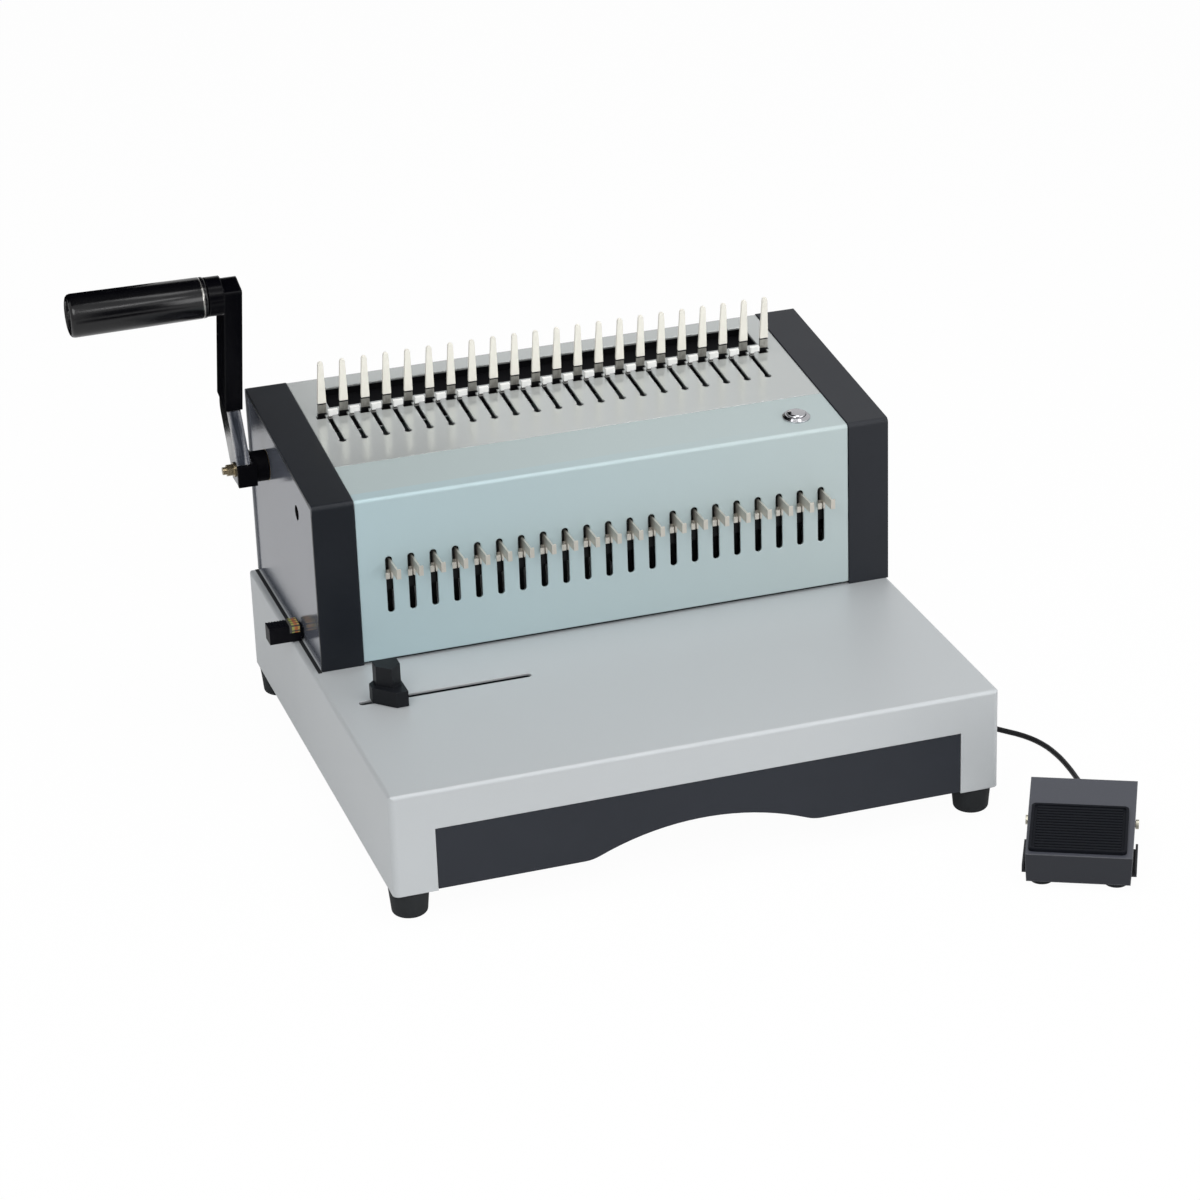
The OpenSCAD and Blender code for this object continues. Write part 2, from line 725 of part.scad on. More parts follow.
// Side view of the lever bar, w wide: its squared foot round the shaft, the lower leg, the bend
// rounded at the back, and the upper leg up to d1
module lever_outline(w, d1) {
    low_side = w / 2 * [cos(lean_low), -sin(lean_low)];
    high = [-sin(lean_high), cos(lean_high)];
    high_side = w / 2 * [cos(lean_high), sin(lean_high)];
    half = (lean_high - lean_low) / 2;
    inner = w / 2 / cos((lean_high + lean_low) / 2) * [cos(half), sin(half)];
    polygon(concat(
        [-low_side, [-low_side[0], -8.7], [low_side[0] - 0.2, -8.7], low_side],
        arc(bend, w / 2, -lean_low, lean_high),
        [bend + d1 * high + high_side, bend + d1 * high - high_side, bend - inner]));
}

// Flat steel bar of the lever with the grip's spindle
module lever_bar() color([0.82, 0.82, 0.84]) translate([0, lever_y, lever_z]) {
    along_x(bar_x, bar_x + bar_t) difference() {
        union() {
            lever_outline(bar_d, leg_high);
            translate(grip_at) circle(bar_d / 2 - 3);
        }
        circle(3.1);
    }
    translate([0, grip_at[0], grip_at[1]]) rod_x(grip_x - grip_l + 6, bar_x, 5);
}

// Black sleeve over the lever's upper leg, cut square above the bend, with an elbow and a collar
module lever_sleeve() color([0.04, 0.04, 0.05]) translate([0, lever_y, lever_z]) {
    wall = 1.1;
    difference() {
        union() {
            along_x(bar_x - wall - 0.1, bar_x + bar_t + wall + 0.1)
                translate(bend) rotate(lean_high) sleeve_outline(bar_d + 2 * wall);
            translate([0, grip_at[0], grip_at[1]]) rod_x(grip_x + 0.5, bar_x - wall, 12.4);
        }
        along_x(bar_x - 0.1, bar_x + bar_t + 0.1) {
            lever_outline(bar_d + 0.2, leg_high);
            translate(grip_at) circle(bar_d / 2 - 2.9);
        }
        translate([0, grip_at[0], grip_at[1]]) rod_x(grip_x - 1, bar_x + 1, 5.05);
    }
}

// Side view of the sleeve along the upper leg; its top is square in front and rounded behind
module sleeve_outline(w) {
    r = 8;
    foot = 5.4;
    top = leg_high + 9;
    polygon(concat([[-w / 2, foot], [w / 2, foot]],
        arc([w / 2 - r, top - r], r, 0, 90),
        arc([-w / 2 + 1.5, top - 1.5], 1.5, 90, 180)));
}

// Screw that clamps the lever on the shaft's end, with its washer and nut
module lever_bolt() color([0.75, 0.65, 0.4]) translate([0, lever_y, lever_z]) {
    rod_x(bar_x - 1, bar_x, 4.8);
    translate([bar_x - 5.4, 0, 0]) rotate([0, 90, 0]) cylinder(h = 4.4, r = 4, $fn = 6);
    rod_x(bar_x - 8, bar_x - 5.4, 2.5);
    rod_x(bar_x, -184, 3);
}

// Tapered grip that turns on its spindle
module lever_grip() color([0.06, 0.06, 0.07])
    translate([grip_x, lever_y + grip_at[0], lever_z + grip_at[1]]) rotate([0, -90, 0])
        difference() {
            rotate_extrude() polygon(concat(
                [[0, 0], [12.5, 0], [13, 0.8]],
                arc([grip_d / 2 - 4, grip_l - 4], 4, 0, 90),
                [[0, grip_l]]));
            translate([0, 0, -1]) cylinder(h = grip_l - 4.5, r = 5.05);
        }

// ---- Punch ----

// Die and stripper plates, joined behind the paper throat, with the guide rods of the punch bar
module die_block() color([0.5, 0.52, 0.54]) {
    left = comb_cx - 158;
    right = comb_cx + 158;
    low = base_top - 8;
    difference() {
        union() {
            block([left, 7.5, low], [right, 33, base_top]);
            block([left, 28, base_top], [right, 33, base_top + throat]);
            block([left, 7.5, base_top + throat], [right, 33, base_top + throat + 12]);
        }
        for (i = [0 : holes - 1])
            punch_hole(i, low - 1, base_top + throat + 13);
    }
    for (x = guide_x())
        translate([x, 16, base_top + throat + 12]) cylinder(h = 80, r = 2.5);
}

// x of the two guide rods
function guide_x() = [comb_cx - 151, comb_cx + 151];

// Clear hole of punch i between two heights
module punch_hole(i, z0, z1) {
    block([hole_x(i) - hole_l / 2 - gap, punch_y - hole_w / 2 - gap, z0],
          [hole_x(i) + hole_l / 2 + gap, punch_y + hole_w / 2 + gap, z1]);
}

// Punch bar with a pocket for each selector, and an arm with a roller beyond each end
module punch_bar() color([0.55, 0.56, 0.58]) {
    left = comb_cx - 154.6;
    right = comb_cx + 154.6;
    difference() {
        block([left, bar_y, bar_z], [right, bar_y + bar_w, bar_z + bar_h]);
        for (i = [0 : holes - 1]) {
            punch_hole(i, bar_z - 1, tab_z - tab_foot);
            block([hole_x(i) + 0.2, bar_y - 1, tab_z - tab_foot - gap],
                  [hole_x(i) + 2, bar_y + 12.5, tab_z + tab_h + gap]);
        }
        for (x = guide_x())
            translate([x, 16, bar_z - 1]) cylinder(h = bar_h + 2, r = 2.55);
    }
    for (s = [-1, 1]) {
        inner = s < 0 ? left : right;
        outer = body_cx + s * (body_w / 2 - 23);
        block([min(inner, outer), 12, bar_z], [max(inner, outer), cam_y + 8, bar_z + 15]);
        translate([0, cam_y, bar_z + 9]) {
            pin_l = cam_x(s) - cam_t / 2 - 1.5;
            pin_r = cam_x(s) + cam_t / 2 + 1.5;
            rod_x(min(outer, pin_l), max(outer, pin_r), 2.5);
            rod_x(cam_x(s) - cam_t / 2, cam_x(s) + cam_t / 2, roller_r);
        }
    }
}

// x of the cam at one end
function cam_x(s) = body_cx + s * (body_w / 2 - 18);

// Flat punches, one for each hole
module punch_pins() color([0.7, 0.7, 0.72])
    for (i = [0 : holes - 1])
        block([hole_x(i) - hole_l / 2, punch_y - hole_w / 2, base_top + throat + 1],
              [hole_x(i) + hole_l / 2, punch_y + hole_w / 2, tab_z - tab_foot - gap]);

// Selector of one punch, pulled forward to leave its hole out
module selector(i) color([0.82, 0.82, 0.8]) translate([hole_x(i), 0, tab_z]) {
    front = body_front - tab_out;
    block([0.5, front, 0], [1.7, body_front - 2.5, tab_h]);
    block([0.5, body_front - 2.5, -tab_foot], [1.7, bar_y + 11, tab_h]);
    block([0.5, front, 0], [3.4, front + 1.2, tab_h]);
    block([-3, body_front - 2.5, -tab_foot], [-0.4, body_front - 1.3, -tab_foot + 4]);
    block([-1.8, body_front - 1.4, -tab_foot], [-0.8, body_front + 3, -tab_foot + 4]);
    block([-1.8, body_front + 2, -tab_foot], [0.6, body_front + 3, -tab_foot + 4]);
}

// Distance from the cam's centre to the roller's centre, a degrees round from the low point
function lift(a) = cam_r + roller_r + gap + punch_stroke * a / 180;
// Angle between the pitch curve's normal and the radius there
function lead_angle(a) = atan(punch_stroke / PI / lift(a));

// Heart cam: the roller's path moved in by the roller's radius, so that it lifts evenly
module heart_cam() {
    reach = roller_r + gap;
    half = concat(
        [[0, 0]],
        [for (k = [0 : 4]) let (b = 90 - lead_angle(0) * k / 4)
            [0, -lift(0)] + reach * [cos(b), sin(b)]],
        [for (a = [6 : 6 : 180]) let (b = -90 + a - lead_angle(a))
            lift(a) * [cos(a - 90), sin(a - 90)] - reach * [cos(b), sin(b)]]);
    for (m = [0, 1])
        mirror([m, 0]) intersection() {
            polygon(half);
            translate([0, -60]) square(120);
        }
}

// Cam shaft with a heart cam at each end
module cam_shaft() color([0.6, 0.6, 0.62]) translate([0, cam_y, cam_z]) {
    rod_x(plate_l + side_t + 0.5, plate_r - side_t - 0.5, cam_shaft_r);
    for (s = [-1, 1])
        along_x(cam_x(s) - cam_t / 2, cam_x(s) + cam_t / 2) heart_cam();
}

// Geared motor that turns the cam shaft
module punch_motor() color([0.35, 0.37, 0.4]) {
    difference() {
        union() {
            block([40, 34.5, 92], [78, 112, 166]);
            block([40, 25.2, 104], [78, 34.6, 166]);
        }
        translate([0, cam_y, cam_z]) rod_x(30, 90, cam_shaft_r + 0.08);
    }
    block([34, 40, base_top], [84, 104, 92]);
    translate([0, 92, 124]) {
        rod_x(78, 150, 29);
        rod_x(150, 156, 12);
    }
}

// Bezel of the start button
module button_bezel() color([0.85, 0.85, 0.86]) on_top() translate([138, 21, 0]) difference() {
    rotate_extrude() polygon([[6.3, -14], [8.3, -14], [8.3, -cover_inset], [9, -cover_inset],
                              [9, 0.4], [7.3, 1.8], [6.3, 1.8]]);
}

// Start button
module push_button() color([0.85, 0.85, 0.86]) on_top() translate([138, 21, 0])
    rotate_extrude() polygon(concat(
        [[0, -11], [6, -11]],
        [for (k = [0 : 5]) [6 * cos(k * 18), 2.2 + 1.6 * sin(k * 18)]]));

// Depth control: a ribbed slider beside the housing, linked to the stop bar behind the throat
module depth_control() color([0.1, 0.1, 0.11]) {
    low = base_top + 0.4;
    high = base_top + throat - 0.4;
    outside = body_l - 21;
    inside = plate_l + side_t + 1;
    difference() {
        block([outside, 54, low], [body_l - 0.6, 65.5, base_top + 11.2]);
        for (k = [0 : 9])
            translate([outside + 1.6 + 1.85 * k, 60, base_top + 11.2]) rotate([0, 45, 0])
                cube([0.8, 14, 0.8], center = true);
    }
    block([body_l - 0.6, 55, base_top + 2], [inside, 63, base_top + 9]);
    block([inside, 22, low], [inside + 9, 63, high]);
    block([inside, 55, high], [inside + 3, 63, base_top + 9]);
    block([inside, 22, low], [comb_cx + 150, 25, high]);
}

// ---- Foot switch ----

module pedal_place() {
    translate([pedal_at[0], pedal_at[1], 0]) rotate([0, 0, pedal_yaw]) children();
}

// Base of the foot switch: bottom plate, back wall, ears for the pin and the switch block
module pedal_base() color([0.2, 0.21, 0.24]) pedal_place() {
    back = pedal_l / 2 - 3;
    side = 28.4;
    difference() {
        union() {
            block([-side, -39, 3], [side, back, 4.5]);
            block([-side, back - 1.5, 3], [side, back, 18]);
            for (s = [-1, 1])
                block([s > 0 ? side - 2 : -side, pin_y - 8, 3], [s > 0 ? side : 2 - side, pin_y + 8, 20]);
        }
        translate([0, back + 1, 9]) rotate([90, 0, 0]) cylinder(h = 4, r = 4);
        translate([0, pin_y, pin_z]) rod_x(-40, 40, 2.02);
    }
    for (s = [-1, 1]) {
        block([s > 0 ? side : -34, -30, 3], [s > 0 ? 34 : -side, 2, 4.5]);
        block([s > 0 ? 32.6 : -34, -30, 4.5], [s > 0 ? 34 : -32.6, 2, 8]);
    }
    block([-10, -24, 4.5], [10, -2, 15]);
}

// Pin on which the treadle rocks
module pedal_pin() color([0.7, 0.7, 0.7]) pedal_place() translate([0, pin_y, pin_z]) {
    rod_x(-32, 32, 2);
    rod_x(-34, -32, 2.9);
    rod_x(32, 34, 2.9);
}

// Folded steel treadle with a long front skirt, a little wider at its back and top
module treadle() color([0.36, 0.37, 0.4]) pedal_place() {
    t = 1.5;
    half = pedal_l / 2;
    low = 3.9;
    difference() {
        intersection() {
            along_x(-40, 40)
                polygon([[-half, low], [-half, pedal_front_z], [half, pedal_back_z], [half, 12],
                         [-30, 9.5], [-half + 6, low]]);
            treadle_sides(0);
        }
        intersection() {
            along_x(-40, 40)
                polygon([[-half + t, low - 2], [-half + t, pedal_front_z - t],
                         [half + 1, pedal_back_z - t + 0.1], [half + 1, 0]]);
            treadle_sides(t);
        }
        translate([0, pin_y, pin_z]) rod_x(-40, 40, 2.05);
    }
}

// Space between the treadle's two sides, t inside them
module treadle_sides(t) {
    front = pedal_w / 2 - t;
    half = pedal_l / 2 + 2;
    intersection() {
        linear_extrude(40)
            polygon([[-front, -half], [front, -half], [front + 1, half], [-front - 1, half]]);
        translate([0, half, 0]) rotate([90, 0, 0]) linear_extrude(2 * half)
            polygon([[1 - front, 0], [front - 1, 0], [front + 1.4, 40], [-front - 1.4, 40]]);
    }
}

// Ribbed rubber pad on the treadle
module treadle_pad() color([0.12, 0.12, 0.14]) pedal_place()
    translate([0, -pedal_l / 2, pedal_front_z]) rotate([pedal_slope, 0, 0]) {
        translate([-1, 28, 0.05]) linear_extrude(1.4) round_rect(58, 50, 3);
        translate([-1, 28, 1.45]) linear_extrude(0.9) difference() {
            round_rect(58, 50, 3);
            round_rect(54.5, 46.5, 1.5);
        }
        for (k = [0 : 14])
            block([-26.5, 6.1 + 3 * k, 1.4], [24.5, 7.9 + 3 * k, 2.1]);
    }

// Strain reliefs of the lead, at the back panel and at the foot switch
module lead_glands() color([0.08, 0.08, 0.08]) {
    y = body_back - cover_inset - plate_t - 0.1;
    translate([lead_x, y, lead_z]) rotate([-90, 0, 0]) gland(197.2 - y);
    pedal_place() translate([0, pedal_l / 2 - 3, 9]) rotate([-90, 0, 0]) gland(17.7);
}

// Tapered sleeve with a flange, standing on its fixing stub
module gland(l) {
    translate([0, 0, -4]) cylinder(h = 4, r = 3.9);
    cylinder(h = 1.6, r = 5.5);
    translate([0, 0, 1.6]) cylinder(h = l - 1.6, r1 = 3.6, r2 = 2.3);
}

// Ring of points of radius r about p, square to the direction d
function ring(p, d, r, n = 8) =
    let (side = cross(d, [0, 0, 1]), u = norm(side) > 0.1 ? side / norm(side) : [1, 0, 0],
         v = cross(u, d) / norm(d))
    [for (i = [0 : n - 1]) p + r * (cos(360 * i / n) * u + sin(360 * i / n) * v)];

// Point on a smooth curve through p, s of the way from p[k] to p[k + 1]
function on_curve(p, k, s) =
    let (a = p[max(k - 1, 0)], b = p[k], c = p[k + 1], d = p[min(k + 2, len(p) - 1)])
    0.5 * (2 * b + s * (c - a) + s * s * (2 * a - 5 * b + 4 * c - d)
           + s * s * s * (3 * b - a - 3 * c + d));

// Tube of diameter w along the route p, with two rings to each stretch
module lead_tube(p, w) {
    n = 8;
    line = concat([for (k = [0 : len(p) - 2]) each [on_curve(p, k, 0), on_curve(p, k, 0.5)]],
                  [p[len(p) - 1]]);
    last = len(line) - 1;
    rings = [for (i = [0 : last])
        each ring(line[i], line[min(i + 1, last)] - line[max(i - 1, 0)], w / 2, n)];
    polyhedron(rings, concat(
        [[for (j = [0 : n - 1]) j]],
        [for (i = [0 : last - 1]) for (j = [0 : n - 1])
            [i * n + j, (i + 1) * n + j, (i + 1) * n + (j + 1) % n, i * n + (j + 1) % n]],
        [[for (j = [n - 1 : -1 : 0]) last * n + j]]));
}

// Lead of the foot switch outside its coil
module pedal_lead() color([0.07, 0.07, 0.07]) {
    lead_tube(lead_drop, lead_d);
    lead_tube(lead_run, lead_d);
}

// Space of the coiled spare length, on the surface behind the machine
module pedal_lead_coil() color([0.07, 0.07, 0.07])
    translate([coil_at[0], coil_at[1], coil_d[1] / 2]) rotate_extrude()
        translate([coil_r, 0]) round_rect(coil_d[0], coil_d[1], 3);

base_tray();
rubber_feet();
side_plate_left();
side_plate_right();
end_trim_left();
end_trim_right();
front_cover();
top_plate();
back_panel();
comb_fingers();
comb_tray();
shaft_bushes();
die_block();
punch_motor();
button_bezel();
mains_inlet();
cover_screws();
edge_guide();
depth_control();
chip_drawer();
lever_shaft();
lever_hub();
lever_bar();
lever_sleeve();
lever_bolt();
lever_grip();
hook_carriage();
punch_bar();
punch_pins();
cam_shaft();
push_button();
power_rocker();
pedal_base();
pedal_pin();
treadle();
treadle_pad();
lead_glands();
pedal_lead();
pedal_lead_coil();
for (i = [0 : 20])
    selector(i);
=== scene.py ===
import math

import bmesh
import bpy
from mathutils import Matrix, Vector


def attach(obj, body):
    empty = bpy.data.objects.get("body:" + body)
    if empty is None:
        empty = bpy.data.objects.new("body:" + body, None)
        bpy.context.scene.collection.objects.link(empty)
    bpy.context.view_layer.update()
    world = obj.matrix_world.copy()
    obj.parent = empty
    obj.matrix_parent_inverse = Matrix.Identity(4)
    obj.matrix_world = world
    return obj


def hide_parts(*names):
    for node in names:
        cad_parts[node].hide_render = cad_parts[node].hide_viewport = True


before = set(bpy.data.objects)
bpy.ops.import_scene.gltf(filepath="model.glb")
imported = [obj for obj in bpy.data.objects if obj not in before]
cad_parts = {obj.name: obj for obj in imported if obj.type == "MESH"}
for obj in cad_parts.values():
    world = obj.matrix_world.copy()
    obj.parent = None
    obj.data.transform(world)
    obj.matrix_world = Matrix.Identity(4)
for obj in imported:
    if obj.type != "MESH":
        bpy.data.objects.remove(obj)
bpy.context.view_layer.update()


# ---- Camera ----
# It stands nearly two and a half metres away, to the machine's left and well above it, and looks
# down on the front through a long lens.
bpy.ops.object.camera_add(
    location=(-0.6469, -2.05495, 1.09011),
    rotation=[math.radians(a) for a in (65.37297, 1.84408, -18.19300)],
)
camera = bpy.context.object
camera.data.lens = 112.548
camera.data.clip_end = 60
bpy.context.scene.camera = camera


# ---- Lead of the foot switch ----
# A thin round cable with a smooth black jacket. It drops from the back panel to its coiled spare
# length, runs forward along the base's right side and ends in the foot switch.
class Wire:
    """One output of a finish under way; sums on it add their Math nodes."""

    def __init__(self, finish, socket):
        self.finish = finish
        self.socket = socket

    def maths(self, operation, a, b):
        return self.finish.maths(operation, a, b)

    def __add__(self, other):
        return self.maths("ADD", self, other)

    def __sub__(self, other):
        return self.maths("SUBTRACT", self, other)

    def __rsub__(self, other):
        return self.maths("SUBTRACT", other, self)

    def __mul__(self, other):
        return self.maths("MULTIPLY", self, other)

    def __truediv__(self, other):
        return self.maths("DIVIDE", self, other)

    def __pow__(self, other):
        return self.maths("POWER", self, other)

    def above(self, level):
        return self.maths("GREATER_THAN", self, level)

    __radd__ = __add__
    __rmul__ = __mul__


class Finish:
    """A material that is being mixed."""

    def __init__(self, name):
        self.material = bpy.data.materials.new(name)
        self.material.use_nodes = True
        self.tree = self.material.node_tree
        self.tree.nodes.clear()

    def add(self, kind, settings=None, values=None, out=0):
        """Adds a node: its type, its settings, its sockets' values or links, and the output to use."""
        node = self.tree.nodes.new(kind)
        for key, value in (settings or {}).items():
            if key == "stops":
                for _ in value[2:]:
                    node.color_ramp.elements.new(0.5)
                for element, (place, shade) in zip(node.color_ramp.elements, value):
                    element.position = place
                    element.color = (*shade, 1)
            else:
                setattr(node, key, value)
        for key, value in (values or {}).items():
            if isinstance(value, Wire):
                self.tree.links.new(value.socket, node.inputs[key])
            else:
                node.inputs[key].default_value = value
        return Wire(self, node.outputs[out])

    def maths(self, operation, a, b=0.0):
        return self.add("ShaderNodeMath", {"operation": operation}, {0: a, 1: b})

    def place(self):
        return self.add("ShaderNodeTexCoord", out="Object")

    def axis(self, number):
        """Place along x, y or z (0, 1 or 2), in metres."""
        return self.add("ShaderNodeSeparateXYZ", None, {"Vector": self.place()}, number)

    def noise(self, size, detail=3.0, rough=0.55, stretch=(1, 1, 1)):
        at = self.add("ShaderNodeMapping", None, {"Vector": self.place(), "Scale": stretch})
        return self.add("ShaderNodeTexNoise", None, {
            "Vector": at, "Scale": 1 / size, "Detail": detail, "Roughness": rough})

    def blend(self, amount, low, high):
        """A colour between two. The Mix node takes them at sockets 6 and 7 and gives it at output 2."""
        low = low if isinstance(low, Wire) else (*low, 1)
        high = high if isinstance(high, Wire) else (*high, 1)
        return self.add("ShaderNodeMix", {"data_type": "RGBA"}, {0: amount, 6: low, 7: high}, 2)

    def bump(self, height, depth, normal=None):
        values = {"Height": height, "Distance": depth, "Strength": 1.0}
        if normal:
            values["Normal"] = normal
        return self.add("ShaderNodeBump", None, values)

    def soft_edge(self, radius):
        return self.add("ShaderNodeBevel", {"samples": 4}, {"Radius": radius})

    def rim(self, radius):
        """1 along sharp edges, 0 on flat faces."""
        contrast = 8
        true = self.add("ShaderNodeNewGeometry", out="True Normal")
        same = self.add("ShaderNodeVectorMath", {"operation": "DOT_PRODUCT"},
                        {0: self.soft_edge(radius), 1: true}, "Value")
        return self.maths("MINIMUM", (1 - same) * contrast, 1.0)

    def done(self, **values):
        named = {key.replace("_", " "): value for key, value in values.items()}
        shader = self.add("ShaderNodeBsdfPrincipled", None, named)
        self.add_output(shader)
        return self.material

    def add_output(self, shader):
        output = self.tree.nodes.new("ShaderNodeOutputMaterial")
        self.tree.links.new(shader.socket, output.inputs["Surface"])


def jacket(name, colour):
    finish = Finish(name)
    scuff = finish.noise(0.004, 4.0, 0.6)
    tone = finish.blend(scuff, [c * 0.75 for c in colour], [c * 1.5 for c in colour])
    return finish.done(Base_Color=tone, Roughness=scuff * 0.18 + 0.36, Specular_IOR_Level=0.2,
                       Normal=finish.bump(finish.noise(0.0006), 0.00002))


# Points of the lead's middle, in mm: from the back panel to the coil, and from the coil to the pedal.
lead_drop = [
    (150, 197.5, 100), (150, 206, 98), (150, 214, 90), (150, 219, 76), (149, 222, 58),
    (148, 226, 40), (146, 230, 23), (141, 235, 10), (133, 239, 4), (122, 241.2, 2), (112, 241.4, 2)]
lead_run = [
    (106, 190.6, 5.5), (118, 191.4, 4.8), (132, 194, 3), (148, 198, 2), (166, 202, 2),
    (184, 202, 2), (199, 194, 2), (207, 179, 2), (210, 158, 2), (211, 130, 2), (210, 100, 2),
    (209, 70, 2), (208, 40, 2), (208, 10, 2), (210, -16, 2), (216, -40, 2), (226, -60, 2),
    (238, -76, 2), (248, -89, 2), (254, -103, 2), (256.5, -120, 2), (256.3, -138, 2),
    (254.6, -154, 2.3), (252.1, -167, 3.9), (249.3, -177.3, 6.7), (246.2, -185.1, 8.7),
    (242.6, -192.3, 9)]
coil_middle = (104, 216)
coil_radius = 20
coil_turns = 7.5
turn_spacing = 3.6
layer_height = 3.55
steps_a_turn = 20


def eased(t, start, end):
    t = min(max((t - start) / (end - start), 0), 1)
    return t * t * (3 - 2 * t)


def coil_point(turn):
    """Middle of the cable after so many turns: four turns side by side, then back over them."""
    columns = [1.5, 0.5, -0.5, -1.5, -1.5, -0.5, 0.5, 1.5, 1.5]
    n = int(turn)
    # The part of each turn in which the cable moves over to the next one's place
    window = (0.85, 1.0) if n < 3 else (0.7, 0.85) if n == 3 else (0.55, 0.7)
    shift = eased(turn - n, *window)
    column = columns[n] + shift * (columns[n + 1] - columns[n])
    layer = 0 if n < 3 else shift if n == 3 else 1
    angle = math.radians(90 + 360 * turn)
    radius = coil_radius + turn_spacing * column
    return (coil_middle[0] + radius * math.cos(angle), coil_middle[1] + radius * math.sin(angle),
            2 + layer_height * layer)


def cable(name, route, diameter):
    curve = bpy.data.curves.new(name, "CURVE")
    curve.dimensions = "3D"
    curve.bevel_depth = diameter / 2
    curve.bevel_resolution = 3
    curve.resolution_u = 3
    curve.use_fill_caps = True
    spline = curve.splines.new("BEZIER")
    spline.bezier_points.add(len(route) - 1)
    for knot, place in zip(spline.bezier_points, route):
        knot.co = [c / 1000 for c in place]
        knot.handle_left_type = knot.handle_right_type = "AUTO"
    piece = bpy.data.objects.new(name, curve)
    bpy.context.collection.objects.link(piece)
    return piece


coil_steps = range(int(coil_turns * steps_a_turn) + 1)
lead_route = lead_drop + [coil_point(step / steps_a_turn) for step in coil_steps] + lead_run
lead = cable("lead", lead_route, 0.0035)
lead.data.materials.append(jacket("lead_jacket", (0.006, 0.006, 0.007)))
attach(lead, "machine")
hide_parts("pedal_lead", "pedal_lead_coil")


# ---- Tie of the coiled lead ----
# A closed strap of soft black rubber, slipped round the turns at one side of the coil to hold them
# together.
def pick_faces(test):
    """Selects the faces of the piece in hand whose normal passes a test."""
    bpy.ops.mesh.select_mode(type="FACE")
    bpy.ops.mesh.select_all(action="DESELECT")
    mesh = bmesh.from_edit_mesh(bpy.context.object.data)
    for face in mesh.faces:
        face.select_set(test(face.normal))
    bmesh.update_edit_mesh(bpy.context.object.data)


def soften(piece, width, angle=35):
    """Rounds every edge sharper than an angle in degrees."""
    bevel = piece.modifiers.new("soft_edges", "BEVEL")
    bevel.width = width
    bevel.segments = 2
    bevel.limit_method = "ANGLE"
    bevel.angle_limit = math.radians(angle)
    bpy.context.view_layer.objects.active = piece
    bpy.ops.object.modifier_apply(modifier="soft_edges")


def fit(piece, name, material, body, slot, *replaced):
    """Names a finished piece, gives it its material and hands it to its body."""
    piece.name = name
    bpy.ops.object.select_all(action="DESELECT")
    piece.select_set(True)
    bpy.context.view_layer.objects.active = piece
    bpy.ops.object.shade_smooth_by_angle(angle=math.radians(32))
    piece.data.materials.clear()
    piece.data.materials.append(material)
    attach(piece, body)
    if replaced:
        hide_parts(*replaced)


def block_in_hand(size, centre):
    """A block, size and centre in mm, in edit mode."""
    bpy.ops.object.select_all(action="DESELECT")
    bpy.ops.mesh.primitive_cube_add(size=1)
    piece = bpy.context.object
    piece.data.transform(Matrix.LocRotScale(Vector(centre) / 1000, None, Vector(size) / 1000))
    bpy.ops.object.mode_set(mode="EDIT")
    return piece


tie_size = (16.6, 5, 8.0)
tie_wall = 0.0006
tie_bottom = 0.0002
pressed_below = 0.0009
tie_turn = math.radians(35)
tie = block_in_hand(tie_size, (0, 0, 4.02))
pick_faces(lambda normal: abs(normal.y) > 0.9)
bpy.ops.mesh.inset(thickness=tie_wall)
bpy.ops.mesh.bridge_edge_loops()
bpy.ops.mesh.select_all(action="SELECT")
bpy.ops.mesh.normals_make_consistent(inside=False)
bpy.ops.object.mode_set(mode="OBJECT")
soften(tie, 0.0002)
# The strap is pressed flat where the turns lie on it.
for corner in tie.data.vertices:
    if tie_bottom < corner.co.z < pressed_below:
        corner.co.z = tie_bottom
on_coil = Matrix.Translation((coil_middle[0] / 1000, coil_middle[1] / 1000, 0))
tie.data.transform(on_coil @ Matrix.Rotation(tie_turn, 4, "Z")
                   @ Matrix.Translation((coil_radius / 1000, 0, 0)))
fit(tie, "lead_tie", jacket("tie_rubber", (0.02, 0.02, 0.021)), "machine", "lead_black")


# ---- Base ----
# Folded from one steel sheet and sprayed with a silver paint whose fine flakes stay visible. Its colour
# is lighter on the folded edges, partly where the paint is thin and partly as a painted highlight.
def silver_paint(name, colour, rough=0.38, flake=0.09, metal=0.2, round_edge=0.0012, shine=0.5,
                 patch=None, patch_colour=None):
    """Paint with fine flakes; where a patch is given, its mask takes another colour."""
    cloudiness = 0.06
    finish = Finish(name)
    grains = finish.noise(0.0005, 2.0, 0.7)
    orange_peel = finish.noise(0.0022, 2.0, 0.5)
    patches = finish.noise(0.12, 3.0, 0.5)
    rim = finish.rim(round_edge)
    tone = finish.blend(grains, [c * (1 - flake) for c in colour], [c * (1 + flake) for c in colour])
    tone = finish.blend(patches * cloudiness, tone, [c * 0.72 for c in colour])
    # Lighter colour along sharp edges: partly thin paint, partly a painted highlight.
    tone = finish.blend(rim * 0.5, tone, [min(c * 1.25, 0.9) for c in colour])
    if patch:
        tone = finish.blend(patch(finish), tone, patch_colour)
    skin = finish.bump(grains, 0.00002, finish.soft_edge(round_edge))
    return finish.done(
        Base_Color=tone, Metallic=metal, Roughness=grains * 0.10 + patches * 0.06 + rough,
        Specular_IOR_Level=shine, Normal=finish.bump(orange_peel, 0.00002, skin))


def dress(material, *names):
    for name in names:
        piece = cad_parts[name]
        piece.data.materials.clear()
        piece.data.materials.append(material)


dress(silver_paint("base_paint", (0.505, 0.53, 0.545), round_edge=0.0008), "base_tray")


